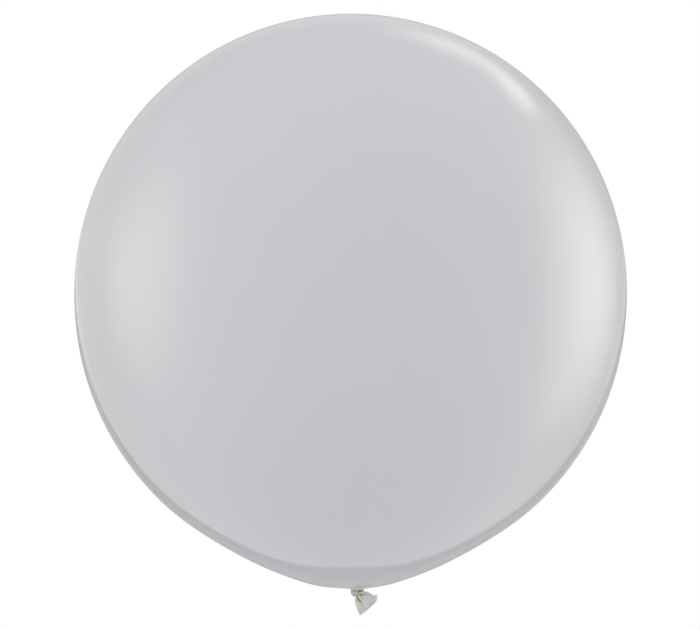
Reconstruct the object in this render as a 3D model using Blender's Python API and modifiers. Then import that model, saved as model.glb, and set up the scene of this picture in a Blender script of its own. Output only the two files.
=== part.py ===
"""Giant round latex balloon, inflated and tied off with a knot in its own neck.

Metres, +Z up, +X to the right as seen from the front (looking along +Y).
The origin is where the neck leaves the inflated body: the body floats above it,
and the knot and its tail hang below it.
"""

import math

import bmesh
import bpy
from mathutils import Vector

# Inflated body: an ellipse above its widest ring, and a slightly tapered one below
EQUATOR_RADIUS = 0.4570
EQUATOR_HEIGHT = 0.4900
CROWN_RISE = 0.4617
LOWER_DEPTH = 0.4905
LOWER_TAPER = 0.095
TAPER_ONSET = 1.5
SKIN = 0.0006
BODY_SEGMENTS = 64
CROWN_RINGS = 13
LOWER_RINGS = 15

# The knot pulls the neck a little to the right of the body's own axis
NECK_PULL = 0.0115
PULL_REACH = 0.0450

# Neck: the rim where the skin turns down, and the pleats drawn in below it
NECK_RADIUS = 0.0116
NECK_FILLET = 0.0012
FILLET_STEPS = 2
PLEATS = 12
PLEAT_POINTS = 4
PLEAT_DEPTH = 0.0007
STRAND_PLEAT_DEPTH = 0.0002
GATHER_TOP = -0.0004
GATHER_DEPTH = 0.0034
GATHER_SHIFT = 0.0008
GATHER_STEPS = 5
STRAND_HALF_WIDTH = 0.0054
STRAND_HALF_DEPTH = 0.0040

# The strand turns from straight down towards the tail inside the knot
TURN = math.radians(41.4)
TURN_RADIUS = 0.0078
TURN_STEPS = 3
GAP = 0.0003

# Turn of the knot: it starts as a fat bight low on the left, crosses the front
# as it rises to the right, and goes round the back to tuck in on the left
LOOP_CENTRE_X = 0.0004
LOOP_CLEARANCE = 0.0007
LOOP_LOW = -0.0093
LOOP_HIGH = -0.0041
LOOP_FAT = 0.0030
LOOP_THIN = 0.0020
LOOP_START = math.radians(110)
LOOP_END = math.radians(530)
RISE_START = math.radians(175)
RISE_END = math.radians(340)
LOOP_TIP = 0.0009
TIP_SPAN = math.radians(45)
LOOP_POINTS = 36

# Tail at each distance below the knot: reach to the left, reach to the right, half thickness
TAIL_SECTIONS = (
    (0.0000, 0.0062, 0.0050, 0.0040),
    (0.0020, 0.0098, 0.0055, 0.0038),
    (0.0040, 0.0125, 0.0084, 0.0034),
    (0.0065, 0.0143, 0.0121, 0.0030),
    (0.0100, 0.0162, 0.0146, 0.0027),
    (0.0140, 0.0178, 0.0158, 0.0025),
    (0.0190, 0.0195, 0.0171, 0.0024),
    (0.0242, 0.0213, 0.0184, 0.0024),
)
TAIL_WALL = 0.0009
POCKET_FROM = 3
END_STEPS = 8
SIDE_STEPS = 8

# Rolled rim of the mouth
BEAD_RADIUS = 0.0015
BEAD_LEFT = 0.0213
BEAD_RIGHT = 0.0190
BEAD_HALF_DEPTH = 0.00195

# Tessellation of the round bars: this many points on a quarter of the bar, less one
BAR_RESOLUTION = 3

ACROSS = Vector((1.0, 0.0, 0.0))
DEPTH_AXIS = Vector((0.0, 1.0, 0.0))
TAIL_AXIS = Vector((math.sin(TURN), 0.0, -math.cos(TURN)))
TAIL_SIDE = Vector((math.cos(TURN), 0.0, math.sin(TURN)))


def clear_scene():
    for old in list(bpy.data.objects):
        bpy.data.objects.remove(old, do_unlink=True)


def make_collection(name):
    collection = bpy.data.collections.new(name)
    bpy.context.scene.collection.children.link(collection)
    return collection


def make_material(name, colour, roughness):
    material = bpy.data.materials.new(name)
    material.use_nodes = True
    shader = material.node_tree.nodes["Principled BSDF"]
    shader.inputs["Base Color"].default_value = (*colour, 1.0)
    shader.inputs["Roughness"].default_value = roughness
    shader.inputs["Metallic"].default_value = 0.0
    return material


def smooth_step(value):
    clamped = min(max(value, 0.0), 1.0)
    return clamped * clamped * (3 - 2 * clamped)


def add_mesh_object(name, build, material, collection):
    """Make a mesh object from a function that fills a bmesh."""
    mesh = bpy.data.meshes.new(name)
    shape = bmesh.new()
    build(shape)
    shape.to_mesh(mesh)
    shape.free()
    mesh.shade_smooth()
    mesh.materials.append(material)
    piece = bpy.data.objects.new(name, mesh)
    collection.objects.link(piece)
    return piece


def add_bar(name, route, radii, cyclic, material, collection):
    """Make a round bar along a route of points, with its radius at each point."""
    thickest = max(radii)
    curve = bpy.data.curves.new(name, "CURVE")
    curve.dimensions = "3D"
    curve.bevel_depth = thickest
    curve.bevel_resolution = BAR_RESOLUTION
    curve.use_fill_caps = not cyclic
    spline = curve.splines.new("POLY")
    spline.points.add(len(route) - 1)
    for point, place, radius in zip(spline.points, route, radii):
        point.co = (*place, 1.0)
        point.radius = radius / thickest
    spline.use_cyclic_u = cyclic
    spline.use_smooth = True
    curve.materials.append(material)
    piece = bpy.data.objects.new(name, curve)
    collection.objects.link(piece)
    return piece


def loft(shape, rings):
    """Join rings of equally many points with quads, and cap both ends."""
    rows = [[shape.verts.new(point) for point in ring] for ring in rings]
    count = len(rows[0])
    for upper, lower in zip(rows, rows[1:]):
        for i in range(count):
            j = (i + 1) % count
            shape.faces.new((upper[i], lower[i], lower[j], upper[j]))
    shape.faces.new(rows[0])
    shape.faces.new(reversed(rows[-1]))
    bmesh.ops.recalc_face_normals(shape, faces=shape.faces)


def body_profile():
    """Half outline of the body, from the crown down its outer side to the neck's rim."""
    outline = []
    for step in range(CROWN_RINGS):
        angle = math.pi / 2 * (1 - step / CROWN_RINGS)
        height = EQUATOR_HEIGHT + CROWN_RISE * math.sin(angle)
        outline.append((EQUATOR_RADIUS * math.cos(angle), height))
    fillet_start = NECK_RADIUS + NECK_FILLET
    last_angle = math.acos((fillet_start / EQUATOR_RADIUS) ** (1 / (1 + 2 * LOWER_TAPER)))
    for step in range(LOWER_RINGS + 1):
        angle = last_angle * step / LOWER_RINGS
        depth = math.sin(angle)
        exponent = 1 + 2 * LOWER_TAPER * depth**TAPER_ONSET
        radius = EQUATOR_RADIUS * math.cos(angle) ** exponent
        outline.append((radius, EQUATOR_HEIGHT - LOWER_DEPTH * depth))
    rim_height = outline[-1][1]
    for step in range(1, FILLET_STEPS + 1):
        angle = math.pi / 2 * step / FILLET_STEPS
        radius = fillet_start - NECK_FILLET * math.sin(angle)
        outline.append((radius, rim_height - NECK_FILLET * (1 - math.cos(angle))))
    return outline


def make_envelope(material, collection):
    """Thin skin turned round the body's axis, its lowest rings drawn over to the neck."""

    def build(shape):
        points = [shape.verts.new((radius, 0.0, height)) for radius, height in body_profile()]
        edges = [shape.edges.new(pair) for pair in zip(points, points[1:])]
        bmesh.ops.spin(
            shape,
            geom=points + edges,
            axis=(0.0, 0.0, 1.0),
            cent=(0.0, 0.0, 0.0),
            angle=2 * math.pi,
            steps=BODY_SEGMENTS,
        )
        bmesh.ops.remove_doubles(shape, verts=shape.verts, dist=0.00001)
        bmesh.ops.recalc_face_normals(shape, faces=shape.faces)
        for vert in shape.verts:
            from_axis = math.hypot(vert.co.x, vert.co.y)
            below_widest = vert.co.z < EQUATOR_HEIGHT
            pull = smooth_step(1 - from_axis / PULL_REACH) if below_widest else 0.0
            vert.co.x -= NECK_PULL * (1 - pull / smooth_step(1 - NECK_RADIUS / PULL_REACH))

    piece = add_mesh_object("envelope", build, material, collection)
    wall = piece.modifiers.new("Skin", "SOLIDIFY")
    wall.thickness = SKIN
    wall.offset = -1.0
    wall.use_even_offset = True
    return piece


def pleated_ring(centre, side, half_width, half_depth, pleat_depth):
    """Oval across the strand whose edge swings in and out once a pleat."""
    count = PLEATS * PLEAT_POINTS
    ring = []
    for step in range(count):
        angle = 2 * math.pi * step / count
        inset = pleat_depth * (1 - math.cos(PLEATS * angle))
        across = (half_width - inset) * math.cos(angle)
        ring.append(centre + across * side + (half_depth - inset) * math.sin(angle) * DEPTH_AXIS)
    return ring


def turn_frame(angle):
    """Centre and sideways direction of the strand after turning by this angle."""
    x = GATHER_SHIFT + TURN_RADIUS * (1 - math.cos(angle))
    z = GATHER_TOP - GATHER_DEPTH - TURN_RADIUS * math.sin(angle)
    return Vector((x, 0.0, z)), Vector((math.cos(angle), 0.0, math.sin(angle)))


def make_neck_gather(material, collection):
    """Pleated neck, drawn in like a funnel and then turned towards the tail."""
    top_radius = NECK_RADIUS - SKIN - GAP

    def build(shape):
        rings = []
        for step in range(GATHER_STEPS):
            drop = step / GATHER_STEPS
            spread = (1 - drop) ** 1.6
            half_width = STRAND_HALF_WIDTH + (top_radius - STRAND_HALF_WIDTH) * spread
            half_depth = STRAND_HALF_DEPTH + (top_radius - STRAND_HALF_DEPTH) * spread
            pleat = STRAND_PLEAT_DEPTH + (PLEAT_DEPTH - STRAND_PLEAT_DEPTH) * spread
            centre = Vector((GATHER_SHIFT * (1 - spread), 0.0, GATHER_TOP - GATHER_DEPTH * drop))
            rings.append(pleated_ring(centre, ACROSS, half_width, half_depth, pleat))
        for step in range(TURN_STEPS + 1):
            centre, side = turn_frame(TURN * step / TURN_STEPS)
            sizes = (STRAND_HALF_WIDTH, STRAND_HALF_DEPTH, STRAND_PLEAT_DEPTH)
            rings.append(pleated_ring(centre, side, *sizes))
        loft(shape, rings)

    return add_mesh_object("neck_gather", build, material, collection)


def make_knot_loop(material, collection):
    """One turn and a little more of the neck, wound round the gathered strand."""
    route = []
    radii = []
    for step in range(LOOP_POINTS + 1):
        angle = LOOP_START + (LOOP_END - LOOP_START) * step / LOOP_POINTS
        rise = smooth_step((angle - RISE_START) / (RISE_END - RISE_START))
        body = LOOP_FAT + (LOOP_THIN - LOOP_FAT) * rise
        from_tip = min(angle - LOOP_START, LOOP_END - angle)
        radius = LOOP_TIP + (body - LOOP_TIP) * smooth_step(from_tip / TIP_SPAN)
        reach = LOOP_CLEARANCE + body
        x = LOOP_CENTRE_X + (STRAND_HALF_WIDTH + reach) * math.cos(angle)
        y = (STRAND_HALF_DEPTH + reach) * math.sin(angle)
        route.append((x, y, LOOP_LOW + (LOOP_HIGH - LOOP_LOW) * rise))
        radii.append(radius)
    return add_bar("knot_loop", route, radii, False, material, collection)


def stadium(centre, left, right, half_depth):
    """Ring with two straight sides and round ends, across the tail's axis."""
    flat = []
    for end, near, far in ((1, right, left), (-1, left, right)):
        run = near - half_depth
        length = near + far - 2 * half_depth
        for step in range(END_STEPS + 1):
            angle = math.pi * (step / END_STEPS - 0.5)
            across = end * (run + half_depth * math.cos(angle))
            flat.append((across, end * half_depth * math.sin(angle)))
        for step in range(1, SIDE_STEPS):
            across = end * (run - length * step / SIDE_STEPS)
            flat.append((across, end * half_depth))
    return [centre + across * TAIL_SIDE + depth * DEPTH_AXIS for across, depth in flat]


def tail_point(along):
    """Point on the tail's axis, this far below the strand's end."""
    return turn_frame(TURN)[0] + (GAP + along) * TAIL_AXIS


def make_tail(material, collection):
    """Flattened tube that fans out to its mouth, with the open space inside it."""

    def build(shape):
        outer = []
        for along, left, right, half_depth in TAIL_SECTIONS:
            outer.append(stadium(tail_point(along), left, right, half_depth))
        inner = []
        for along, *sizes in reversed(TAIL_SECTIONS[POCKET_FROM:]):
            inset = [size - TAIL_WALL for size in sizes]
            inner.append(stadium(tail_point(along), *inset))
        loft(shape, outer + inner)

    return add_mesh_object("tail", build, material, collection)


def make_lip_bead(material, collection):
    """Rolled rim: one closed round cord of latex along the mouth's edge."""
    centre = tail_point(TAIL_SECTIONS[-1][0] + GAP + BEAD_RADIUS)
    route = stadium(centre, BEAD_LEFT, BEAD_RIGHT, BEAD_HALF_DEPTH)
    radii = [BEAD_RADIUS] * len(route)
    return add_bar("lip_bead", route, radii, True, material, collection)


def main():
    clear_scene()
    balloon = make_collection("giant_latex_balloon")
    skin = make_material("latex_skin", (0.55, 0.55, 0.58), 0.22)
    gathered = make_material("latex_gathered", (0.47, 0.47, 0.42), 0.35)
    knotted = make_material("latex_knot", (0.50, 0.50, 0.46), 0.35)
    flat = make_material("latex_tail", (0.56, 0.56, 0.55), 0.32)
    rolled = make_material("latex_bead", (0.60, 0.60, 0.60), 0.30)
    make_envelope(skin, balloon)
    make_neck_gather(gathered, balloon)
    make_knot_loop(knotted, balloon)
    make_tail(flat, balloon)
    make_lip_bead(rolled, balloon)


main()
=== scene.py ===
import math

import bpy
import numpy as np
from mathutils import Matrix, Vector


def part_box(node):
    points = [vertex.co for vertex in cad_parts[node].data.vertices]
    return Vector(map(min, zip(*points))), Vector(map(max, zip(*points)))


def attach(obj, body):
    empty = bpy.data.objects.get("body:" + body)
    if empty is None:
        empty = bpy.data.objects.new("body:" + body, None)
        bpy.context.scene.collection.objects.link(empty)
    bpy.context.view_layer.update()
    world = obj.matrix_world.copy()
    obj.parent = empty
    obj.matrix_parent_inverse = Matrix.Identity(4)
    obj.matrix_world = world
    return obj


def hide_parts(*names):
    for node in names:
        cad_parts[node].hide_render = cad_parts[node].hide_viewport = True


# Giant round latex balloon: fine surfaces, latex finishes, studio surroundings and camera.
# Metres, +Z up, origin where the neck leaves the body, +X to the right seen from the front.
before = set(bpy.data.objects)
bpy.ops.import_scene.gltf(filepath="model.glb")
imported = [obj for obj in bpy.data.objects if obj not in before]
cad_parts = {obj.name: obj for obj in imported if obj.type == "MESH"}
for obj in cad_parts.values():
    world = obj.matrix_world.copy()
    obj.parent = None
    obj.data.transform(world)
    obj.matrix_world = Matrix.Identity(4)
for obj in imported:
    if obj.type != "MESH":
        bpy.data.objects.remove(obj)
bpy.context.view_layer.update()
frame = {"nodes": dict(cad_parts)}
print("frame loaded:", ", ".join(frame["nodes"]))


# Small shared sums

def softStep(value, start, end):  # 0 at start, 1 at end, and 3t^2 - 2t^3 between them
    share = np.clip((value - start) / (end - start), 0.0, 1.0)
    return share * share * (3 - 2 * share)


def bump(value, centre, width):  # bell curve: exp(-((value - centre) / width)^2)
    return np.exp(-(((value - centre) / width) ** 2))


def signedPower(value, power):  # the size raised to the power, with its sign kept
    return np.sign(value) * np.abs(value) ** power


def angleGap(angle, centre):  # short way round from centre to angle, in radians
    return np.angle(np.exp(1j * (angle - centre)))


def evenAngles(count):  # even angles round one turn
    return np.linspace(0, 2 * np.pi, count, endpoint=False)


def unitLength(vectors):  # each vector divided by its length
    return vectors / np.linalg.norm(vectors, axis=-1, keepdims=True)


curvePoints = 400
curveReach = 20  # points that the smoothing takes in on each side


# Soft curve through (place, value) stations: lines between them, then a running mean whose
# weights are one hump of a cosine
def alongStations(place, stations):
    places, values = np.array(stations, float).T
    fine = np.linspace(places[0], places[-1], curvePoints)
    padded = np.pad(np.interp(fine, places, values), curveReach, mode="edge")
    weights = np.hanning(2 * curveReach + 1)
    return np.interp(place, fine, np.convolve(padded, weights / weights.sum(), mode="valid"))


def addObject(name, data):
    made = bpy.data.objects.new(name, data)
    bpy.context.scene.collection.objects.link(made)
    return made


# Mesh from a grid of points: rows run along the shape, columns go once round it. Closed ends have
# a pole point inside the first and the last ring, open has only the first one, and joined puts
# the last row next to the first. Layers are values kept at each point.
def addSurface(name, points, layers, ends="closed"):
    rows, columns = points.shape[:2]
    index = np.arange(rows * columns).reshape(rows, columns)
    nextColumn = np.roll(index, -1, axis=1)
    if ends == "joined":
        corners = [index, np.roll(index, -1, axis=0), np.roll(nextColumn, -1, axis=0), nextColumn]
    else:
        corners = [index[:-1], index[1:], nextColumn[1:], nextColumn[:-1]]
    faces = np.stack(corners, -1).reshape(-1, 4).tolist()
    places = [points.reshape(-1, 3)]
    layers = {key: [values.reshape(-1)] for key, values in layers.items()}
    poleRings = {"closed": (0, rows - 1), "open": (0,), "joined": ()}[ends]
    for number, ring in enumerate(poleRings):
        places.append(points[ring].mean(axis=0, keepdims=True))
        for parts in layers.values():
            parts.append(parts[0][index[ring]].mean(keepdims=True))
        pole = np.full(columns, rows * columns + number)
        sides = (index[ring], nextColumn[ring]) if ring == 0 else (nextColumn[ring], index[ring])
        faces += np.stack([pole, *sides], -1).tolist()
    mesh = bpy.data.meshes.new(name)
    mesh.from_pydata(np.concatenate(places).tolist(), [], faces)
    for key, parts in layers.items():
        layer = mesh.attributes.new(key, "FLOAT", "POINT")
        layer.data.foreach_set("value", np.concatenate(parts).astype(np.float32))
    mesh.polygons.foreach_set("use_smooth", np.ones(len(faces), bool))
    mesh.update()
    return addObject(name, mesh)


# Turns a mesh the right way out. Its volume is a sixth of the sum of its triangles' determinants,
# and comes out negative where they face inwards.
def faceOutwards(piece):
    mesh = piece.data
    mesh.calc_loop_triangles()
    corners = np.empty(len(mesh.loop_triangles) * 3, np.int32)
    mesh.loop_triangles.foreach_get("vertices", corners)
    places = np.empty(len(mesh.vertices) * 3, np.float32)
    mesh.vertices.foreach_get("co", places)
    triangles = places.reshape(-1, 3).astype(float)[corners.reshape(-1, 3)]
    volume = np.linalg.det(triangles).sum() / 6
    if volume < 0:
        mesh.flip_normals()
    print(f"  {piece.name}: {len(mesh.loop_triangles)} triangles, {abs(volume) * 1e6:.2f} cm3")


def finishPiece(piece, material, node):
    faceOutwards(piece)
    piece.data.materials.append(material)
    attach(piece, "root")
    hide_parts(node)


# One socket of a node tree. Sums and products of signals add Math nodes to the tree.
class Signal:
    def __init__(self, tree, socket):
        self.tree = tree
        self.socket = socket

    def other(self, name):  # another output of the same node
        return Signal(self.tree, self.socket.node.outputs[name])

    def __add__(self, value):
        return self.tree.sum("ADD", self, value)

    def __radd__(self, value):
        return self.tree.sum("ADD", value, self)

    def __sub__(self, value):
        return self.tree.sum("SUBTRACT", self, value)

    def __rsub__(self, value):
        return self.tree.sum("SUBTRACT", value, self)

    def __mul__(self, value):
        return self.tree.sum("MULTIPLY", self, value)

    def __rmul__(self, value):
        return self.tree.sum("MULTIPLY", value, self)

    def __truediv__(self, value):
        return self.tree.sum("DIVIDE", self, value)

    def __rtruediv__(self, value):
        return self.tree.sum("DIVIDE", value, self)

    def __pow__(self, value):
        return self.tree.sum("POWER", self, value)

    def __rpow__(self, value):
        return self.tree.sum("POWER", value, self)


class Tree:
    def __init__(self, nodeTree):
        self.nodeTree = nodeTree
        nodeTree.nodes.clear()

    # Adds a node of this kind: its settings come first, then its inputs get values or links
    def node(self, kind, settings=None, inputs=None, output=0):
        made = self.nodeTree.nodes.new(kind)
        for key, value in (settings or {}).items():
            setattr(made, key, value)
        for key, value in (inputs or {}).items():
            if isinstance(value, Signal):
                self.nodeTree.links.new(value.socket, made.inputs[key])
            else:
                made.inputs[key].default_value = value
        return Signal(self, made.outputs[output]) if made.outputs else None

    def sum(self, operation, first, second=0.0, clamp=False):  # clamp holds it between 0 and 1
        settings = {"operation": operation, "use_clamp": clamp}
        return self.node("ShaderNodeMath", settings, {0: first, 1: second})

    def ramp(self, value, low, high):  # 0 at low, 1 at high, with soft ends
        inputs = {"Value": value, "From Min": low, "From Max": high}
        return self.node("ShaderNodeMapRange", {"interpolation_type": "SMOOTHSTEP"}, inputs)

    def grey(self, value):  # a colour of this value in all three parts
        return self.node("ShaderNodeCombineColor", None, {0: value, 1: value, 2: value})

    def mixColour(self, share, first, second, blend="MIX"):
        settings = {"data_type": "RGBA", "blend_type": blend}
        return self.node("ShaderNodeMix", settings, {0: share, 6: first, 7: second}, output=2)

    def mixShader(self, share, first, second):
        return self.node("ShaderNodeMixShader", None, {0: share, 1: first, 2: second})

    def separate(self, vector):  # X, Y and Z of a vector
        parts = self.node("ShaderNodeSeparateXYZ", None, {"Vector": vector})
        return [parts.other(axis) for axis in "XYZ"]

    def dot(self, vector, axis):
        settings = {"operation": "DOT_PRODUCT"}
        return self.node("ShaderNodeVectorMath", settings, {0: vector, 1: axis}, output="Value")

    def noise(self, vector, scale, detail=2.0, roughness=0.5):
        inputs = {"Vector": vector, "Scale": scale, "Detail": detail, "Roughness": roughness}
        return self.node("ShaderNodeTexNoise", None, inputs)

    def attribute(self, name):  # a layer of the mesh
        return self.node("ShaderNodeAttribute", {"attribute_name": name}, output="Fac")


def colour(red, green, blue):
    return (red, green, blue, 1.0)


def startMaterial(name):  # a material with an empty tree
    material = bpy.data.materials.new(name)
    material.use_nodes = True
    return material, Tree(material.node_tree)


# Measures of the body, from the box of its solid
def bodyMeasures():
    low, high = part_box("envelope")
    return {
        "radius": (high[0] - low[0]) / 2,
        "middleX": (high[0] + low[0]) / 2,
        "crown": high[2],
        "widest": low[2] + (high[2] - low[2]) * bodyShape["widestShare"],
    }


# Camera: level height a little under the middle, looking slightly up, on a long lens.
# The picture is 700 x 629, and the body is 552.6 pixels wide in it.
cameraSetup = {
    "imageWidth": 700,
    "imageHeight": 629,
    "bodyWidthPixels": 552.6,
    "bodyCentrePixel": 350.5,  # across
    "widestRowPixel": 292.9,  # down
    "lens": 180.0,
    "sensor": 36.0,
    "height": 0.28,
    "clip": (0.1, 60.0),
}


# Distance is the body's radius over the sine of the half angle that it fills. The aim is moved
# off the body's middle by the pixels that lie between it and the middle of the picture.
def addCamera(setup):
    body = bodyMeasures()
    pixelsPerTangent = setup["lens"] * setup["imageWidth"] / setup["sensor"]
    halfAngle = math.atan(setup["bodyWidthPixels"] / 2 / pixelsPerTangent)
    distance = body["radius"] / math.sin(halfAngle)
    pixel = distance / pixelsPerTangent
    targetX = body["middleX"] + (setup["imageWidth"] / 2 - setup["bodyCentrePixel"]) * pixel
    targetZ = body["widest"] - (setup["imageHeight"] / 2 - setup["widestRowPixel"]) * pixel
    forward = math.sqrt(distance**2 - (targetZ - setup["height"]) ** 2)
    place = Vector((targetX, -forward, setup["height"]))
    target = Vector((targetX, 0.0, targetZ))
    data = bpy.data.cameras.new("studioCamera")
    data.lens = setup["lens"]
    data.sensor_width = setup["sensor"]
    data.clip_start, data.clip_end = setup["clip"]
    camera = addObject("studioCamera", data)
    camera.location = place
    camera.rotation_mode = "QUATERNION"
    camera.rotation_quaternion = (target - place).to_track_quat("-Z", "Y")
    bpy.context.scene.camera = camera
    print(f"camera {distance:.2f} m away on a {setup['lens']:.0f} mm lens")


def oval(azimuth, elevation, halfWidth, halfHeight, **more):  # a patch of the surroundings, in degrees
    return {"azimuth": azimuth, "elevation": elevation, "width": halfWidth, "height": halfHeight, **more}


# Surroundings, by azimuth from straight behind the balloon (right is positive) and elevation
surroundings = {
    "backdrop": 1.0,  # what the camera itself sees
    "below": 0.92,
    "above": 0.59,
    "liftReach": (-0.6, 0.8),  # sines of the elevations between which below turns into above
    "behind": 0.60,
    "behindReach": (0.70, 1.0),
    "behindTilt": (-0.35, 0.35),  # brighter to the left and upwards
    "softboxes": (  # azimuth, elevation, half width and half height, as for every oval
        oval(-87.5, 6, 37, 42, power=2.0, light=(1.55, 1.48, 1.29)),
        oval(70.5, 3.5, 38.5, 42.5, power=2.0, light=(2.09, 1.98, 1.63)),
        oval(36.4, 35.8, 15.6, 7.2, roll=23, power=2.3, light=(1.33, 1.27, 1.10)),
        oval(20, 38.6, 15.7, 17, roll=19, power=3.0, light=(0.83, 0.79, 0.69)),
        oval(74.5, -26.5, 19, 12, power=1.0, light=(0.34, 0.32, 0.28)),
    ),
    "flags": (  # black cards behind the balloon, which take light away from its rim
        oval(-27, 25, 25, 27, shade=0.15),
        oval(25, 20, 15, 12, shade=0.18),
        oval(1, 8, 20, 13, shade=0.17),
        oval(-51, -17, 32, 28, shade=0.20),
        oval(45, -19, 20, 20, shade=0.23),
        oval(100, 11, 32, 28, shade=0.22),
    ),
    "darkPanel": oval(0.4, -21.8, 22.9, 25.8, egg=0.49, edge=0.08, middleLight=0.58, fall=0.42,
                      topReach=(-0.24, -0.09), topLight=0.19, rim=0.35, rimLight=(0.20, 0.20, 0.20)),
    "overhead": {"azimuth": 171, "elevation": 63, "spread": 120, "strength": 1.22},
    "sampleMap": 1024,
}


def directionAxes(azimuth, elevation, roll=0.0):  # towards the place, and right and up across it
    turn, rise, tilt = math.radians(azimuth), math.radians(elevation), math.radians(roll)
    flat = math.cos(rise)
    axis = Vector((math.sin(turn) * flat, math.cos(turn) * flat, math.sin(rise)))
    right = Vector((math.cos(turn), -math.sin(turn), 0.0))
    up = right.cross(axis)
    tiltedRight = right * math.cos(tilt) + up * math.sin(tilt)
    return axis, tiltedRight, up * math.cos(tilt) - right * math.sin(tilt)


# Squared distance of a direction from an oval patch's centre, 1 at its edge, plus 2 on the far
# side. An egg is wider towards its upper end.
def ovalDistance(tree, direction, patch):
    axis, right, up = directionAxes(patch["azimuth"], patch["elevation"], patch.get("roll", 0.0))
    across = tree.dot(direction, right) / math.sin(math.radians(patch["width"]))
    upward = tree.dot(direction, up) / math.sin(math.radians(patch["height"]))
    if "egg" in patch:
        across = across / (1.0 + upward * patch["egg"])
    farSide = tree.sum("LESS_THAN", tree.dot(direction, axis), 0.0)
    return across * across + upward * upward + farSide * 2.0


# Light from all round: a level that changes with height and behind, plus each softbox, which is
# 1 - distance to its power, less each flag, with the dark panel laid over them
def addSurroundings(setup):
    world = bpy.data.worlds.new("studio")
    world.use_nodes = True
    world.cycles.sampling_method = "MANUAL"
    world.cycles.sample_map_resolution = setup["sampleMap"]
    bpy.context.scene.world = world
    tree = Tree(world.node_tree)
    direction = tree.node("ShaderNodeTexCoord", output="Generated")
    sideways, backward, upward = tree.separate(direction)

    def within(patch):  # 1 in the middle of the patch, 0 from its edge outwards
        return tree.sum("SUBTRACT", 1.0, ovalDistance(tree, direction, patch), clamp=True)

    lift = tree.ramp(upward, *setup["liftReach"])
    level = setup["below"] + (setup["above"] - setup["below"]) * lift
    back = tree.ramp(backward, *setup["behindReach"])
    tiltX, tiltZ = setup["behindTilt"]
    level = level * (1.0 - back) + (setup["behind"] + sideways * tiltX + upward * tiltZ) * back
    light = tree.grey(level)
    for softbox in setup["softboxes"]:
        glow = within(softbox) ** softbox["power"]
        light = tree.mixColour(glow, light, colour(*softbox["light"]), "ADD")
    for flag in setup["flags"]:
        light = tree.mixColour(within(flag) * flag["shade"], light, colour(1, 1, 1), "SUBTRACT")
    panel = setup["darkPanel"]
    fromPanel = ovalDistance(tree, direction, panel)
    rim = tree.ramp(fromPanel, 1.0 + panel["rim"], 1.0)
    light = tree.mixColour(rim, light, colour(*panel["rimLight"]), "ADD")
    inside = tree.ramp(fromPanel, 1.0 + panel["edge"], 1.0 - panel["edge"])
    topLight = tree.ramp(upward, *panel["topReach"]) * panel["topLight"]
    dim = panel["middleLight"] - fromPanel * panel["fall"] + topLight
    light = tree.mixColour(inside, light, tree.grey(dim))
    glow = tree.node("ShaderNodeBackground", None, {"Color": light, "Strength": 1.0})
    backdrop = {"Color": colour(1, 1, 1), "Strength": setup["backdrop"]}
    seen = tree.node("ShaderNodeLightPath", output="Is Camera Ray")
    mixed = tree.mixShader(seen, glow, tree.node("ShaderNodeBackground", None, backdrop))
    tree.node("ShaderNodeOutputWorld", None, {"Surface": mixed})
    print(f"surroundings with {len(setup['softboxes'])} softboxes and {len(setup['flags'])} flags")


def addOverheadLamp(setup):  # a wide soft sun, left out of reflections
    lamp = bpy.data.lights.new("overheadLamp", "SUN")
    lamp.energy = setup["strength"]
    lamp.angle = math.radians(setup["spread"])
    overhead = addObject("overheadLamp", lamp)
    overhead.rotation_mode = "QUATERNION"
    axis = directionAxes(setup["azimuth"], setup["elevation"])[0]
    overhead.rotation_quaternion = axis.to_track_quat("Z", "Y")
    overhead.visible_glossy = False


# Floor: a large pale disc below the balloon, fading to the backdrop's white at its edge
floorSetup = {
    "height": -0.60,
    "radius": 7.5,
    "sides": 96,
    "paint": (0.86, 0.86, 0.86),
    "fade": (0.45, 0.95),  # shares of the radius
}


def addFloor(setup):
    angle = evenAngles(setup["sides"])
    x, y = setup["radius"] * np.cos(angle), setup["radius"] * np.sin(angle)
    ring = np.stack([x, y, np.full_like(angle, setup["height"])], -1)
    mesh = bpy.data.meshes.new("paleFloor")
    mesh.from_pydata(ring.tolist(), [], [list(range(setup["sides"]))])
    floor = addObject("paleFloor", mesh)
    floor.visible_glossy = False
    floor.visible_diffuse = False
    material, tree = startMaterial("palePaint")
    place = tree.node("ShaderNodeTexCoord", output="Object")
    length = {"operation": "LENGTH"}
    fromMiddle = tree.node("ShaderNodeVectorMath", length, {0: place}, output="Value")
    edge = tree.ramp(fromMiddle, *[share * setup["radius"] for share in setup["fade"]])
    paint = tree.node("ShaderNodeBsdfDiffuse", None, {"Color": colour(*setup["paint"])})
    blank = tree.node("ShaderNodeEmission", None, {"Color": colour(1, 1, 1), "Strength": 1.0})
    tree.node("ShaderNodeOutputMaterial", None, {"Surface": tree.mixShader(edge, paint, blank)})
    mesh.materials.append(material)
    print(f"floor {setup['height']:.2f} m from the origin")


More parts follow.
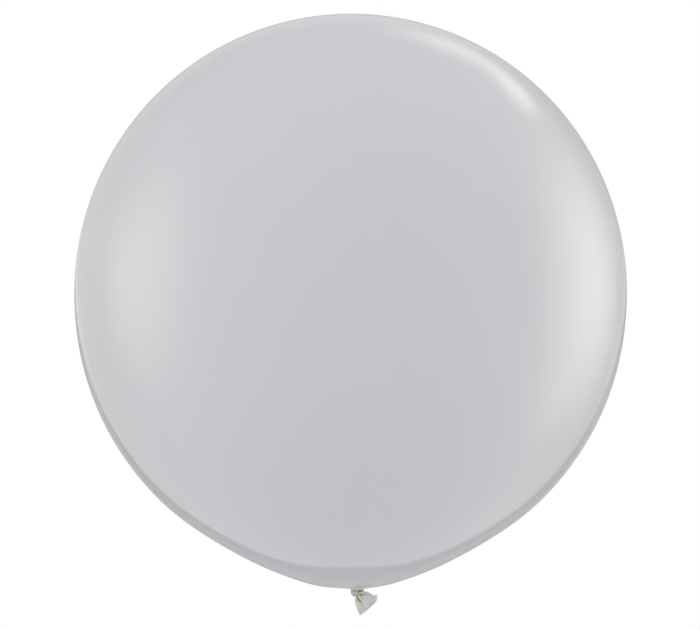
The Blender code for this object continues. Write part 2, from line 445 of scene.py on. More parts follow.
# Body: ellipse above its widest ring, tapered ellipse below it, pleated skin round the neck
bodyShape = {
    "widestShare": 0.5155,  # height of the widest ring as a share of the whole height
    "taper": 0.095,
    "taperOnset": 1.5,
    "footDrop": 0.0005,  # where the lower ellipse would close, below the origin
    # Each swell is a distance from the middle line, a reach and a lift, on the two sides only
    "swells": ((0.203, 0.070, 0.0024), (0.060, 0.036, -0.0015), (0.312, 0.048, -0.0012)),
    "swellSides": 10,
    "swellStart": (0.015, 0.045),  # distances between which they set in
    "bulge": {"rise": 41, "reach": 33, "amount": 0.0015},  # fuller high on the right; degrees
    "pullReach": 0.045,  # the neck is drawn sideways within this distance
    "throatRadius": 0.0116,
    "flareRadius": 0.015,
    "flareDrop": 0.0014,
    "throatLift": 0.0006,  # the rim sits this much higher in front and behind than at the sides
    "tuck": 0.0024,
    "tuckDrop": 0.0009,
    "skin": 0.0005,
    "columns": 264,
    "crownRows": 54,
    "lowerRows": 66,
    "rowSpacing": 1.25,  # over 1 brings the rows closer together towards the neck
    "flareRows": 18,
    "tuckRows": 9,
    "foldDepth": 0.0011,
    "throatFoldDepth": 0.0026,
    "crownButton": 0.0005,
    "buttonReach": 0.008,
}

# Pleats that the knot draws round the neck; the body and the strand share them
neckFolds = {
    "seed": 4,
    "count": 24,
    "scatter": 0.28,  # this and the widths are shares of the even spacing
    "widths": (0.30, 0.46),
    "depths": (0.45, 1.0),
    "reaches": (0.020, 0.060),
    "fade": 2.2,
}


# Each pleat is a bell curve in angle with its own depth, which fades to 0 at its own distance
def neckPleats(angle, distance, folds):
    rng = np.random.default_rng(folds["seed"])
    count = folds["count"]
    spacing = 2 * np.pi / count
    centres = spacing * (np.arange(count) + rng.uniform(-folds["scatter"], folds["scatter"], count))
    widths = spacing * rng.uniform(*folds["widths"], count)
    depths = rng.uniform(*folds["depths"], count)
    reaches = rng.uniform(*folds["reaches"], count)
    fade = np.clip(1 - distance[..., None] / reaches, 0, 1) ** folds["fade"]
    return (bump(angleGap(angle[..., None], centres), 0, widths) * depths * fade).sum(-1)


# Radius and height down the outline: the upper ellipse, the lower one with its taper, then the
# flare into the throat and the tuck inside it, which both turn like a quarter of an ellipse
def bodyRows(shape, radius, crown, widest):
    taper, flareRadius, throatRadius = shape["taper"], shape["flareRadius"], shape["throatRadius"]

    def lowerPoint(slope):  # the cosine's power grows from 1 with depth, which tapers the ellipse
        depth = np.sin(slope)
        power = 1 + 2 * taper * depth ** shape["taperOnset"]
        return radius * np.cos(slope) ** power, widest - (widest + shape["footDrop"]) * depth

    def slopeAt(distance):  # about the slope at which the outline has come in to this distance
        return np.arccos((distance / radius) ** (1 / (1 + 2 * taper)))

    rise = np.linspace(np.pi / 2, 0, shape["crownRows"], endpoint=False)[1:]
    top = (radius * np.cos(rise), widest + (crown - widest) * np.sin(rise))
    even = np.linspace(0, 1, shape["lowerRows"])
    lower = lowerPoint(slopeAt(flareRadius) * (1 - (1 - even) ** shape["rowSpacing"]))
    turn = np.linspace(0, np.pi / 2, shape["flareRows"])[1:]
    flare = flareRadius - (flareRadius - throatRadius) * np.sin(turn)
    flareHeight = lowerPoint(slopeAt(flare))[1] - shape["flareDrop"] * (1 - np.cos(turn))
    turn = np.linspace(0, np.pi / 2, shape["tuckRows"])[1:]
    tuck = throatRadius - shape["tuck"] * (1 - np.cos(turn))
    tuckHeight = flareHeight[-1] - shape["tuckDrop"] * np.sin(turn)
    return np.concatenate([top, lower, (flare, flareHeight), (tuck, tuckHeight)], axis=1)


# The outline is turned about the upright middle line. Pleats let in the throat and lift the skin
# round it, swells and the bulge are bells added to it, and the neck's pull draws it to x = 0.
def addBody(shape, material):
    body = bodyMeasures()
    reach, height = bodyRows(shape, body["radius"], body["crown"], body["widest"])
    rows, turn = np.meshgrid(np.arange(len(reach)), evenAngles(shape["columns"]), indexing="ij")
    distance = reach[rows]
    below = (height[rows] < body["widest"]).astype(float)
    pleats = neckPleats(turn, distance, neckFolds) * below
    throat = softStep(distance, shape["flareRadius"], shape["throatRadius"]) * below
    inward = shape["throatFoldDepth"] * pleats * throat
    upward = shape["foldDepth"] * pleats * (1 - throat)
    swell = sum(lift * bump(distance, centre, width) for centre, width, lift in shape["swells"])
    swell = swell * softStep(distance, *shape["swellStart"]) * below
    swell = swell * np.cos(turn) ** shape["swellSides"]
    button = shape["crownButton"] * bump(distance, 0.0, shape["buttonReach"]) * (1 - below)
    atThroat = softStep(shape["throatRadius"], shape["pullReach"], 0)
    pull = np.minimum(softStep(distance, shape["pullReach"], 0) * below / atThroat, 1.0)
    x = (distance - inward) * np.cos(turn) + body["middleX"] * (1 - pull)
    y = (distance - inward) * np.sin(turn)
    z = height[rows] + upward + swell + button + shape["throatLift"] * throat * np.sin(turn) ** 2
    points = np.stack([x, y, z], -1)
    away = unitLength(points - np.array([body["middleX"], 0.0, body["widest"]]))
    rise = math.radians(shape["bulge"]["rise"])
    towardsBulge = away @ np.array([math.cos(rise), 0.0, math.sin(rise)])
    fromBulge = np.degrees(np.arccos(np.clip(towardsBulge, -1, 1)))
    bulge = shape["bulge"]["amount"] * bump(fromBulge, 0, shape["bulge"]["reach"])
    piece = addSurface("balloonSkin", points + away * bulge[..., None], {"fold": pleats}, "open")
    wall = piece.modifiers.new("skin", "SOLIDIFY")
    wall.thickness = shape["skin"]
    wall.offset = -1.0
    finishPiece(piece, material, "envelope")


# Latex looks: soft gloss over a cloudy pigment, denser where the latex is less stretched
latexIndex = 1.5


# Latex from a colour, a roughness and small relief, which has a strength and a depth
def finishLatex(tree, base, rough, raised, relief):
    strength, depth = relief
    bumps = {"Strength": strength, "Distance": depth, "Height": raised}
    normal = tree.node("ShaderNodeBump", None, bumps)
    inputs = {"Base Color": base, "Roughness": rough, "IOR": latexIndex, "Normal": normal}
    shader = tree.node("ShaderNodeBsdfPrincipled", None, inputs)
    tree.node("ShaderNodeOutputMaterial", None, {"Surface": shader})


# Fades are distances from a middle line or heights, from no effect to the full effect
skinLook = {
    "stretched": (0.561, 0.567, 0.600),
    "denseLatexAndPaintedLight": (0.77, 0.77, 0.76),
    "throat": (0.57, 0.57, 0.47),
    "crown": (0.585, 0.588, 0.605),
    "pleat": (0.30, 0.30, 0.29),
    "middleX": -0.0115,
    "lowDown": (0.2, 0.1),
    "neckFade": (0.048, 0.014),
    "neckShare": 0.9,
    "throatFade": (0.018, 0.012),
    "crownFade": (0.030, 0.004),
    "highUp": (0.8, 0.9),
    "crownShare": 0.6,
    "pleatShade": 0.22,
    "cloudSize": 5.0,
    "cloudShare": 0.02,
    "streakSize": 14.0,
    "streakLength": 0.35,  # smaller makes the streaks longer
    "streakFade": (0.03, 0.2),
    "streakShare": 0.015,
    "roughness": 0.11,
    "neckRoughness": 0.30,
    "glossSize": 40.0,
    "glossChange": 0.03,
    "grainSize": 900.0,
    "grain": (0.02, 0.0002),  # strength and depth
}


# The stretched colour times clouds and streaks that run down the body. Denser latex round the neck,
# lifted as painted light, the crown, painted shade in the pleats and the throat's olive with painted
# shade are mixed in over it, in this order.
def skinMaterial(look):
    material, tree = startMaterial("inflatedLatex")
    place = tree.node("ShaderNodeTexCoord", output="Object")
    x, y, z = tree.separate(place)
    cloud = tree.noise(place, look["cloudSize"], 3.0) - 0.5
    fromMiddleX = x - look["middleX"]
    spread = tree.sum("SQRT", fromMiddleX * fromMiddleX + y * y)
    downwards = {0: fromMiddleX / spread, 1: y / spread, 2: z * look["streakLength"]}
    unit = tree.node("ShaderNodeCombineXYZ", None, downwards)
    streak = (tree.noise(unit, look["streakSize"], 3.0) - 0.5) * tree.ramp(spread, *look["streakFade"])
    shade = 1.0 + cloud * look["cloudShare"] + streak * look["streakShare"]
    base = tree.mixColour(1.0, colour(*look["stretched"]), tree.grey(shade), "MULTIPLY")
    fromNeck = tree.sum("SQRT", x * x + y * y)
    lowDown = tree.ramp(z, *look["lowDown"])
    # Denser latex round the neck, its colour lifted further as painted light to offset the shade and
    # darker reflections near the knot
    nearNeck = tree.ramp(fromNeck, *look["neckFade"]) * lowDown
    base = tree.mixColour(nearNeck * look["neckShare"], base, colour(*look["denseLatexAndPaintedLight"]))
    crown = tree.ramp(spread, *look["crownFade"]) * tree.ramp(z, *look["highUp"]) * look["crownShare"]
    base = tree.mixColour(crown, base, colour(*look["crown"]))
    # Painted shade in the pleats round the neck: the fold layer mixes in a darker colour
    pleat = tree.sum("MULTIPLY", tree.attribute("fold"), look["pleatShade"], clamp=True)
    base = tree.mixColour(pleat, base, colour(*look["pleat"]))
    # Olive of the thick latex at the throat, made darker as painted shade where the body meets the knot
    throat = tree.ramp(fromNeck, *look["throatFade"]) * lowDown
    base = tree.mixColour(throat, base, colour(*look["throat"]))
    rough = look["roughness"] + (tree.noise(place, look["glossSize"], 3.0) - 0.5) * look["glossChange"]
    rough = rough + nearNeck * (look["neckRoughness"] - look["roughness"])
    finishLatex(tree, base, rough, tree.noise(place, look["grainSize"]), look["grain"])
    return material


# Strand inside the knot: straight down from the throat, then an arc towards the tail
strandShape = {
    "shift": 0.0008,  # the straight stretch stands this far right of the origin
    "straightEnd": 0.0038,  # depth where the arc starts
    "turn": 41.4,  # degrees
    "turnRadius": 0.0078,
    "start": 0.0004,  # what the pleated skin leaves off at the top, and at the end
    "endGap": 0.0003,
    "halfWidths": (
        (0.0, 0.0102), (0.0008, 0.0092), (0.0018, 0.0072), (0.0028, 0.0058), (0.0040, 0.0054),
        (0.0094, 0.0050),
    ),
    "halfDepths": (
        (0.0, 0.0102), (0.0008, 0.0090), (0.0018, 0.0078), (0.0028, 0.0066), (0.0040, 0.0050),
        (0.0070, 0.0041), (0.0094, 0.0031),
    ),
    "pleatDepth": 0.0009,
    "pleatFade": 0.45,  # share lost from the throat to the end
    "fineCount": 31,  # fine pleats round the strand
    "fineTwist": 4.0,
    "fineShare": 0.25,
    "pleatShade": 0.375,
    "darkestPleat": 0.30,
    "lowShade": 0.10,
    "lowReach": (0.25, 0.875),  # shares of the length
    # Shade of a hollow in front: degrees round the strand, power, depth below the throat, reach
    "hollow": {"turn": 277, "power": 6, "depth": 0.0042, "reach": 0.0022, "shade": 0.7},
    "olive": 0.6,
    "rows": 60,
    "columns": 240,
}


def strandLength(shape):  # the straight stretch and the arc
    return shape["straightEnd"] + shape["turnRadius"] * math.radians(shape["turn"])


# Centre line by distance along it: straight down to the turn, then round on the arc
def strandLine(distance, shape):
    angle = (distance - shape["straightEnd"]) / shape["turnRadius"]
    angle = np.clip(angle, 0, math.radians(shape["turn"]))
    drift = shape["shift"] * softStep(distance, 0, shape["straightEnd"])
    x = drift + shape["turnRadius"] * (1 - np.cos(angle))
    z = -np.minimum(distance, shape["straightEnd"]) - shape["turnRadius"] * np.sin(angle)
    return x, z, angle


# Pleated neck: an oval round the centre line, its edge let in by the body's own pleats
def addNeckGather(shape, material):
    last = strandLength(shape)
    distance = np.linspace(shape["start"], last - shape["endGap"], shape["rows"])[:, None]
    share = distance / last
    around = evenAngles(shape["columns"])[None, :]
    x, z, turned = strandLine(distance, shape)
    folds = neckPleats(around, np.full_like(around, bodyShape["throatRadius"]), neckFolds)
    fine = 0.5 + 0.5 * np.sin(shape["fineCount"] * around + shape["fineTwist"] * share)
    inset = shape["pleatDepth"] * (folds + shape["fineShare"] * fine) * (1 - shape["pleatFade"] * share)
    across = (alongStations(distance, shape["halfWidths"]) - inset) * np.cos(around)
    deep = (alongStations(distance, shape["halfDepths"]) - inset) * np.sin(around)
    points = np.stack([x + across * np.cos(turned), deep, z + across * np.sin(turned)], -1)
    # Painted shade: darker in the pleats, towards the strand's lower end and in a spot for the hollow in
    # front; the olive grows with it
    hollow = shape["hollow"]
    facing = np.clip(np.cos(around - math.radians(hollow["turn"])), 0, 1) ** hollow["power"]
    shade = np.minimum(shape["pleatShade"] * folds, shape["darkestPleat"])
    shade = shade + shape["lowShade"] * softStep(share, *shape["lowReach"])
    shade = shade + hollow["shade"] * facing * bump(distance, hollow["depth"], hollow["reach"])
    shade = np.clip(shade, 0, 1)
    olive = shape["olive"] + (1 - shape["olive"]) * shade
    piece = addSurface("neckPleats", points, {"paintedShade": shade, "olive": olive})
    finishPiece(piece, material, "neck_gather")


# Turn of the knot: a fat bight on the left, a band that crosses the front as it rises to the
# right, and a return round the back. Degrees run from the right through the back.
loopShape = {
    "strandWidth": 0.0054,  # half the width and depth of the strand that it goes round
    "strandDepth": 0.0040,
    "clearance": 0.0007,
    "middleX": 0.0004,
    "heights": (
        (110, -0.0065), (150, -0.0068), (185, -0.0070), (215, -0.0073), (235, -0.0075),
        (252, -0.0074), (270, -0.0071), (286, -0.0069), (302, -0.0061), (320, -0.0049),
        (340, -0.0043), (380, -0.0042), (450, -0.0042), (530, -0.0045),
    ),
    "halfHeights": (
        (110, 0.0009), (130, 0.0028), (155, 0.0052), (185, 0.0057), (215, 0.0056), (235, 0.0054),
        (252, 0.0049), (270, 0.0039), (286, 0.0025), (302, 0.0020), (340, 0.0022), (380, 0.0021),
        (450, 0.0020), (500, 0.0019), (530, 0.0009),
    ),
    "halfThicks": (
        (110, 0.0009), (130, 0.0021), (155, 0.0028), (185, 0.0029), (215, 0.0027), (235, 0.0023),
        (252, 0.0018), (270, 0.0018), (302, 0.0021), (340, 0.0025), (380, 0.0023), (450, 0.0019),
        (500, 0.0016), (530, 0.0009),
    ),
    "squareness": 0.82,
    "lean": {"share": 0.42, "middle": 180, "reach": 48},  # the bight's lower half leans in
    "grooves": (  # degrees round the section, width in radians, depth
        (35, 0.22, 0.00055), (-20, 0.20, 0.00045), (78, 0.18, 0.0004), (-62, 0.2, 0.0005),
        (150, 0.22, 0.0004),
    ),
    "grooveDrift": ((0.22, 1.7, 0.0), (0.12, 4.1, 1.0)),  # radians, waves a radian, start
    "bightGrooves": 0.55,  # share of the grooves' depth on the bight
    "bightEnd": (225, 265),  # degrees over which they get their whole depth
    "grooveThick": 0.0020,  # a section thinner than this has shallower grooves
    "wrinkleAngles": (158, 176, 191, 206, 221, 236),
    "wrinkleDepth": 0.00055,
    "wrinkleWidth": 3.6,
    "wrinkleBend": 4.0,
    "outside": (-0.25, 0.4643),  # cosines round the section between which the wrinkles start
    # A fold crosses the band on a slant, in degrees, and fades from the top of it to the bottom; its
    # shade is painted
    "slantCrease": {"middle": 269, "slant": 23, "width": 7, "depth": 0.0009, "fade": 0.38, "shade": 0.85},
    "creaseDepths": (0.0003, 0.0015),  # insets with no shade and with all of it
    "wrinkleShade": 0.6,
    "under": {"middle": 245, "reach": 30, "sines": (-0.2, -0.8667), "shade": 0.45},
    "olive": {"middle": 290, "reach": 42, "share": 0.9},
    "rows": 300,
    "columns": 96,
}


# Dents of the band at each place and angle round its section: long grooves are bells across it
# that drift along it, wrinkles are bells along it, and the slanting fold is a bell along a slanting line
def bandDents(place, around, thick, shape):
    turn = np.radians(place)
    drift = sum(size * np.sin(turn * waves + start) for size, waves, start in shape["grooveDrift"])
    grooves = sum(
        depth * bump(angleGap(around, math.radians(centre) + drift), 0, width)
        for centre, width, depth in shape["grooves"]
    )
    bight = shape["bightGrooves"]
    grooves = grooves * (bight + (1 - bight) * softStep(place, *shape["bightEnd"]))
    outside = softStep(np.cos(around), *shape["outside"])
    wrinkles = outside * sum(
        bump(place + shape["wrinkleBend"] * np.sin(2 * around + centre), centre, shape["wrinkleWidth"])
        for centre in shape["wrinkleAngles"]
    )
    line = shape["slantCrease"]
    slantCrease = bump(place, line["middle"] + line["slant"] * np.sin(around), line["width"])
    slantCrease = slantCrease * outside * (1 - line["fade"] + line["fade"] * np.sin(around))
    inset = (grooves + shape["wrinkleDepth"] * wrinkles) * softStep(thick, 0, shape["grooveThick"])
    return inset + line["depth"] * slantCrease, wrinkles, slantCrease


# Band round the strand: an upright oval section, squared a little, is carried round the strand's
# oval and let in by its dents
def addKnotLoop(shape, material):
    first, last = shape["heights"][0][0], shape["heights"][-1][0]
    place = np.linspace(first, last, shape["rows"])[:, None]
    around = evenAngles(shape["columns"])[None, :]
    tall = alongStations(place, shape["halfHeights"])
    thick = alongStations(place, shape["halfThicks"])
    inset, wrinkles, slantCrease = bandDents(place, around, thick, shape)
    outward = (thick - inset) * signedPower(np.cos(around), shape["squareness"])
    upward = (tall - inset) * signedPower(np.sin(around), shape["squareness"])
    lean = shape["lean"]
    leaning = lean["share"] * bump(place, lean["middle"], lean["reach"])
    outward = outward + leaning * np.minimum(upward, 0)
    reach = shape["clearance"] + thick + outward
    turn = np.radians(place)
    x = shape["middleX"] + (shape["strandWidth"] + reach) * np.cos(turn)
    y = (shape["strandDepth"] + reach) * np.sin(turn)
    z = alongStations(place, shape["heights"]) + upward
    # Painted shade: darker in the grooves, wrinkles and slanting fold, and under the bight's lower side;
    # a tenth of it adds to the olive
    shallow, deepest = shape["creaseDepths"]
    paintedShade = np.clip((inset - shallow) / (deepest - shallow) + shape["wrinkleShade"] * wrinkles, 0, 1)
    under = shape["under"]
    underneath = bump(place, under["middle"], under["reach"]) * softStep(np.sin(around), *under["sines"])
    paintedShade = np.clip(paintedShade + under["shade"] * underneath + shape["slantCrease"]["shade"] * slantCrease, 0, 1)
    tint = shape["olive"]
    olive = tint["share"] * bump(place, tint["middle"], tint["reach"]) + (1 - tint["share"]) * paintedShade
    layers = {"paintedShade": paintedShade, "olive": np.clip(olive, 0, 1)}
    piece = addSurface("knotTurn", np.stack([x, y, z], -1), layers)
    finishPiece(piece, material, "knot_loop")


# Tail: distances in metres, along it from the strand's end and across it from its middle line
tailShape = {
    "start": -0.0034,  # it begins a little way inside the knot
    "leftWidths": (
        (-0.0034, 0.0030), (-0.0024, 0.0042), (-0.0008, 0.0070), (0.0010, 0.0102),
        (0.0035, 0.0127), (0.0073, 0.0150), (0.0115, 0.0169), (0.0177, 0.0191), (0.0253, 0.0217),
    ),
    "rightWidths": (
        (-0.0034, 0.0030), (-0.0018, 0.0048), (0.0003, 0.0060), (0.0017, 0.0082),
        (0.0029, 0.0106), (0.0057, 0.0129), (0.0097, 0.0147), (0.0135, 0.0157),
        (0.0168, 0.0165), (0.0198, 0.0181), (0.0253, 0.0192),
    ),
    "halfDepths": (
        (-0.0034, 0.0024), (-0.0018, 0.0035), (0.0, 0.0041), (0.0040, 0.0036),
        (0.0100, 0.0028), (0.0250, 0.0024),
    ),
    "roundness": 0.75,
    "thinnest": 0.06,  # share of the half depth that the folds always leave
    "edgeSlope": 3,  # how fast the folds set in away from the two edges
    "mouth": (  # distance of the mouth at each share of the half width
        (-1.0, 0.0250), (-0.55, 0.0262), (0.0, 0.0262), (0.4, 0.0260), (0.8, 0.0245), (1.0, 0.0198),
    ),
    "mouthWave": {"size": 0.0005, "waves": 2.3, "start": 0.6},
    "waveReach": (0.375, 1.0),
    "wall": 0.0007,
    "pocketReach": (0.36, 0.48),  # the pocket's end and where it starts to narrow, as shares
    "pocketEnd": 0.35,  # share of its depth that is left at its end
    "pocketSides": 1.2,  # walls by which it is narrower
    "pocketFolds": 0.7,
    "wrinkleDepth": 0.0004,  # fine wrinkles between the folds, which spread, drift and have gaps
    "wrinkleSpacing": 0.0029,
    "wrinkleReach": (0.0024, 0.0084),
    "wrinkleSpread": 0.35,
    "wrinkleDrift": {"size": 0.0011, "length": 0.0043, "skew": 2.0},
    "wrinkleGaps": {"contrast": 0.9, "length": 0.0031, "skew": 3.1, "across": 5.2, "start": 1.7},
    "creaseDepths": (0.0001, 0.0020),
    "edgeShade": 0.34,
    "edgeReach": (0.93, 1.0),
    "lane": {"middle": -0.0010, "lean": 0.5, "width": 0.0060, "end": (0.0230, 0.0180), "olive": 0.95},
    "root": {"end": 0.0145, "olive": 0.9},
    "pocketOlive": 0.5,
    # Folds: side (1 front, -1 back), width, then the line as distance and share of the half
    # width, and the depths as distance and depth
    "folds": (
        (1, 0.0016, ((0.0, -0.50), (0.006, -0.47), (0.0114, -0.36), (0.025, -0.30)),
         ((0.0, 0.0012), (0.006, 0.0022), (0.011, 0.0016), (0.016, 0.0003), (0.025, 0.0001))),
        (1, 0.0011, ((0.0, 0.05), (0.0026, 0.20), (0.0056, 0.49), (0.01, 0.66), (0.025, 0.70)),
         ((0.0, 0.0020), (0.003, 0.0021), (0.006, 0.0013), (0.01, 0.0004), (0.025, 0.0002))),
        (1, 0.0010, ((0.0, 0.05), (0.005, 0.12), (0.0085, 0.07), (0.025, 0.02)),
         ((0.0, 0.0013), (0.005, 0.0013), (0.0085, 0.0009), (0.012, 0.0002), (0.025, 0.0001))),
        (1, 0.0008, ((0.0, -0.86), (0.025, -0.88)),
         ((0.0, 0.0003), (0.012, 0.0003), (0.025, 0.0006))),
        (1, 0.0009, ((0.0, 0.30), (0.013, 0.42), (0.025, 0.24)),
         ((0.0, 0.0), (0.014, 0.0001), (0.019, 0.0002), (0.023, 0.0005), (0.025, 0.0005))),
        (1, 0.0009, ((0.0, 0.80), (0.013, 0.74), (0.025, 0.56)),
         ((0.0, 0.0002), (0.013, 0.0002), (0.019, 0.0004), (0.025, 0.0002))),
        (-1, 0.0013, ((0.0, -0.35), (0.008, -0.30), (0.025, -0.38)),
         ((0.0, 0.0015), (0.007, 0.0016), (0.013, 0.0006), (0.025, 0.0002))),
        (-1, 0.0012, ((0.0, 0.40), (0.006, 0.38), (0.025, 0.52)),
         ((0.0, 0.0016), (0.006, 0.0014), (0.014, 0.0005), (0.025, 0.0003))),
        (-1, 0.0010, ((0.0, 0.02), (0.01, 0.06), (0.025, 0.10)),
         ((0.0, 0.0010), (0.006, 0.0012), (0.012, 0.0005), (0.025, 0.0001))),
        (-1, 0.0009, ((0.0, -0.72), (0.025, -0.80)),
         ((0.0, 0.0004), (0.015, 0.0004), (0.025, 0.0005))),
        (-1, 0.0009, ((0.0, 0.78), (0.025, 0.84)),
         ((0.0, 0.0003), (0.015, 0.0005), (0.025, 0.0004))),
    ),
    "rows": 130,
    "pocketRows": 46,
    "columns": 320,
}


def tailPlace(along, across, deep):  # point from distances along, across and behind the tail's middle
    x, z, angle = strandLine(np.array(strandLength(strandShape)), strandShape)
    return np.stack([
        x + along * np.sin(angle) + across * np.cos(angle),
        deep + 0 * along,
        z - along * np.cos(angle) + across * np.sin(angle),
    ], -1)


def tailHalfWidth(along, share, shape):  # left or right half width, by the sign of the share
    left = alongStations(along, shape["leftWidths"])
    right = alongStations(along, shape["rightWidths"])
    return np.where(share < 0, left, right)


def mouthWave(share, setup):  # how far back the mouth stands at each share: a sine across it
    return setup["size"] * np.sin(setup["waves"] * share + setup["start"])


# Fold depth at each point: every fold is a bell across its line, summed for each side
def tailFoldDepth(along, share, halfWidth, side, shape):
    total = 0 * (along + share)
    for foldSide, width, line, depths in shape["folds"]:
        bell = bump((share - alongStations(along, line)) * halfWidth, 0, width)
        total = total + bell * alongStations(along, depths) * (side == foldSide)
    return total


# Fine wrinkles: waves across the tail that drift along it, times soft gaps, which are a product
# of two sines
def tailWrinkles(along, share, halfWidth, side, shape):
    drift, gaps = shape["wrinkleDrift"], shape["wrinkleGaps"]
    shift = drift["size"] * np.sin(along / drift["length"] + drift["skew"] * share)
    shift = shift + shape["wrinkleSpread"] * np.abs(along)
    across = (share * halfWidth + shift * side) / shape["wrinkleSpacing"]
    product = np.sin(along / gaps["length"] + gaps["skew"] * share)
    product = product * np.sin(gaps["start"] + gaps["across"] * share)
    patches = softStep(0.5 + gaps["contrast"] * product, 0, 1)
    depth = shape["wrinkleDepth"] * softStep(along, *shape["wrinkleReach"])
    return depth * (0.5 + 0.5 * np.sin(2 * np.pi * across)) * patches


# Olive is strongest in a leaning lane in front, at the root and inside the pocket
def tailOlive(along, share, halfWidth, side, inner, shape):
    lane, root = shape["lane"], shape["root"]
    inLane = bump(share * halfWidth, lane["middle"] - lane["lean"] * along, lane["width"])
    inLane = lane["olive"] * inLane * softStep(along, *lane["end"]) * (side > 0)
    atRoot = root["olive"] * softStep(along, root["end"], 0)
    return np.clip(np.maximum(inLane, atRoot) + shape["pocketOlive"] * inner, 0, 1)


# Flattened tube: width times cosine across, half depth times a flattened sine behind, pushed in
# by the folds. The outside runs from the knot to the mouth and the inside runs back from it.
def addTail(shape, material):
    out = np.linspace(0, 1, shape["rows"])
    back = np.linspace(1, shape["pocketReach"][0], shape["pocketRows"])
    run = np.concatenate([out, back])[:, None]
    inner = np.concatenate([0 * out, 0 * back + 1])[:, None]
    around = evenAngles(shape["columns"])[None, :]
    share = np.cos(around) + 0 * run
    side = np.where(np.sin(around) >= 0, 1, -1) + 0 * run
    along = shape["start"] + run * (alongStations(share, shape["mouth"]) - shape["start"])
    halfWidth = tailHalfWidth(along, share, shape)
    folds = tailFoldDepth(along, share, halfWidth, side, shape)
    folds = folds + tailWrinkles(along, share, halfWidth, side, shape)
    pocket = softStep(run, *shape["pocketReach"])
    halfDepth = alongStations(along, shape["halfDepths"])
    pocketDepth = (halfDepth - shape["wall"]) * (shape["pocketEnd"] + (1 - shape["pocketEnd"]) * pocket)
    halfDepth = np.where(inner > 0, pocketDepth, halfDepth)
    atEdge = np.clip(np.abs(np.sin(around)) * shape["edgeSlope"], 0, 1)
    pressed = folds * atEdge * np.where(inner > 0, shape["pocketFolds"] * pocket, 1.0)
    plain = halfDepth * np.abs(np.sin(around)) ** shape["roundness"]
    reach = np.maximum(plain - pressed, shape["thinnest"] * halfDepth * atEdge)
    sway = mouthWave(share, shape["mouthWave"]) * softStep(run, *shape["waveReach"])
    narrower = shape["pocketSides"] * shape["wall"] * inner
    points = tailPlace(along, share * (halfWidth - narrower), -side * reach + sway)
    # Painted shade: darker in the folds and wrinkles and along both edges, with none inside the pocket
    shallow, deepest = shape["creaseDepths"]
    edge = shape["edgeShade"] * softStep(np.abs(share), *shape["edgeReach"])
    paintedShade = np.maximum(np.clip((folds - shallow) / (deepest - shallow), 0, 1), edge) * (1 - inner)
    olive = tailOlive(along, share, halfWidth, side, inner, shape)
    piece = addSurface("tailFan", points, {"paintedShade": paintedShade, "olive": olive})
    finishPiece(piece, material, "tail")


# Rolled rim: a round cord carried round the mouth, thicker where it turns at the upper corner
beadShape = {
    "radius": 0.00145,
    "halfDepth": 0.0021,
    "flatness": 0.7,
    "offset": 0.0013,
    "leftOverhang": -0.0007,
    "rightOverhang": 0.0004,
    "knob": 0.85,
    "knobReach": 0.26,
    "ripple": 0.07,
    "ripples": ((0.5, 23, 0), (0.3, 61, 1)),  # share, waves round the mouth, start
    "groove": 0.13,
    "grooveTurn": 2.2,  # round the cord, in radians
    "grooveWidth": 0.28,
    "grooveShade": 0.8,
    "edgeShades": (0.85, 0.45),  # of the cord's outer edge and the one towards the knot
    "edgePower": 2.5,
    "knobFade": 0.6,
    "knobFadeReach": 0.3,
    "olive": 0.2,
    "rows": 360,
    "columns": 36,
    "step": 0.01,  # turn over which the cord's direction is taken
}


# The cord's middle follows the mouth's flattened oval, with its circle square to the way it runs.
# The radius has ripples, is a bell thicker at the corner, and is let in by one groove.
def addLipBead(shape, material):
    along = evenAngles(shape["rows"])[:, None]
    around = evenAngles(shape["columns"])[None, :]

    def path(turn):  # middle of the cord at this turn round the mouth
        share = np.cos(turn)
        edge = alongStations(share, tailShape["mouth"])
        overhang = np.where(share < 0, shape["leftOverhang"], shape["rightOverhang"])
        across = share * (tailHalfWidth(edge, share, tailShape) + overhang)
        deep = mouthWave(share, tailShape["mouthWave"])
        deep = deep - shape["halfDepth"] * signedPower(np.sin(turn), shape["flatness"])
        return tailPlace(edge + shape["offset"], across, deep)

    ahead = unitLength(path(along + shape["step"]) - path(along - shape["step"]))
    start, end = (tailPlace(np.array(distance), 0.0, 0.0) for distance in (0.0, 1.0))
    sideways = unitLength(np.cross(ahead, end - start))
    forward = np.cross(sideways, ahead)
    fromCorner = np.abs(angleGap(along, 0))
    ripple = sum(share * np.sin(waves * along + begin) for share, waves, begin in shape["ripples"])
    knob = shape["knob"] * bump(fromCorner, 0, shape["knobReach"])
    roll = bump(angleGap(around, shape["grooveTurn"]), 0, shape["grooveWidth"])
    radius = shape["radius"] * (1 + shape["ripple"] * ripple + knob) * (1 - shape["groove"] * roll)
    circle = np.cos(around)[..., None] * forward + np.sin(around)[..., None] * sideways
    points = path(along) + radius[..., None] * circle
    # Painted shade along the cord's two edges and in its groove, with less of it round the knob at the
    # corner
    edges = np.where(np.cos(around) > 0, *shape["edgeShades"])
    edges = edges * np.abs(np.cos(around)) ** shape["edgePower"]
    atKnob = shape["knobFade"] * bump(fromCorner, 0, shape["knobFadeReach"])
    shade = np.clip(np.maximum(shape["grooveShade"] * roll, edges) * (1 - atKnob), 0, 1)
    layers = {"paintedShade": shade, "olive": np.full_like(shade, shape["olive"])}
    piece = addSurface("rolledRim", points, layers, "joined")
    finishPiece(piece, material, "lip_bead")
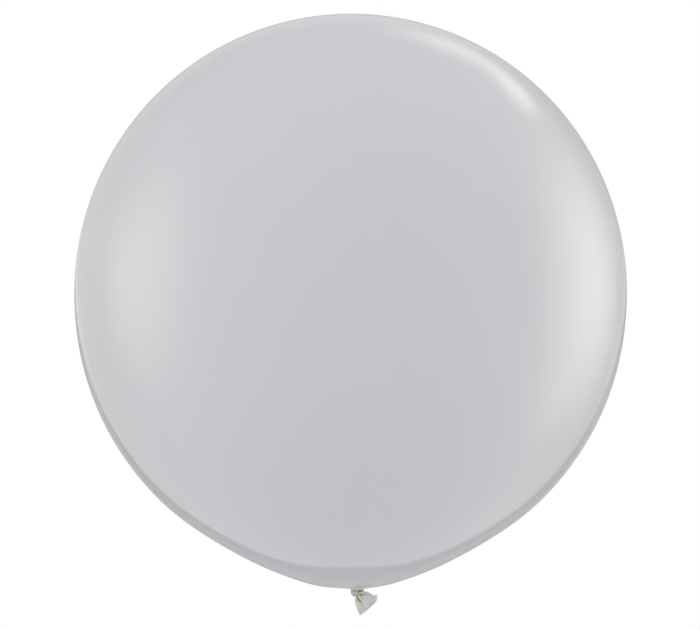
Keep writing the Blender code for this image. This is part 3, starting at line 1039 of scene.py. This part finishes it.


# Folded latex looks: light where it is thin, olive where it is thick and the colour of the painted shade
# in creases and hollows, then its roughness and its mottle
foldedLooks = {
    "pleatedLatex": ((0.74, 0.74, 0.69), (0.64, 0.64, 0.51), (0.15, 0.15, 0.105), 0.34, 0.16),
    "knottedLatex": ((0.64, 0.64, 0.635), (0.56, 0.56, 0.445), (0.17, 0.17, 0.12), 0.33, 0.18),
    "tailLatex": ((0.665, 0.665, 0.68), (0.61, 0.62, 0.495), (0.20, 0.20, 0.15), 0.30, 0.20),
    # The rolled rim's light colour is set high, so that between its shaded edges the cord's middle shows
    # as a painted highlight
    "rolledLatex": ((0.80, 0.80, 0.81), (0.64, 0.64, 0.60), (0.34, 0.34, 0.33), 0.28, 0.14),
}

foldedGrain = {
    "cloudSize": 260.0,
    "cloudShare": 0.5,
    "cloudGloss": 0.12,
    "mottleSize": 330.0,
    "paintedShadeShare": 0.85,
    "fineSize": 1400.0,
    "coarseSize": 420.0,
    "crispness": 0.6,
    "relief": (0.25, 0.00025),  # strength and depth
}


# Light to olive by the olive layer and clouds, times a mottle, then darkened by the painted shade layer.
# The relief is half fine and half coarse noise.
def foldedMaterial(name):
    light, olive, paintedShadeColour, roughness, mottle = foldedLooks[name]
    grain = foldedGrain
    material, tree = startMaterial(name)
    place = tree.node("ShaderNodeTexCoord", output="Object")
    cloud = tree.noise(place, grain["cloudSize"], 3.0) - 0.5
    share = tree.sum("ADD", tree.attribute("olive"), cloud * grain["cloudShare"], clamp=True)
    base = tree.mixColour(share, colour(*light), colour(*olive))
    speck = tree.noise(place, grain["mottleSize"], 3.0, grain["crispness"]) - 0.5
    base = tree.mixColour(1.0, base, tree.grey(1.0 + speck * mottle), "MULTIPLY")
    base = tree.mixColour(tree.attribute("paintedShade") * grain["paintedShadeShare"], base, colour(*paintedShadeColour))
    rough = roughness + cloud * grain["cloudGloss"]
    fine = tree.noise(place, grain["fineSize"], 3.0, grain["crispness"])
    raised = fine * 0.5 + tree.noise(place, grain["coarseSize"]) * 0.5
    finishLatex(tree, base, rough, raised, grain["relief"])
    return material


addCamera(cameraSetup)
addSurroundings(surroundings)
addOverheadLamp(surroundings["overhead"])
addFloor(floorSetup)
addBody(bodyShape, skinMaterial(skinLook))
addNeckGather(strandShape, foldedMaterial("pleatedLatex"))
addKnotLoop(loopShape, foldedMaterial("knottedLatex"))
addTail(tailShape, foldedMaterial("tailLatex"))
addLipBead(beadShape, foldedMaterial("rolledLatex"))
bpy.context.scene.view_settings.view_transform = "Standard"
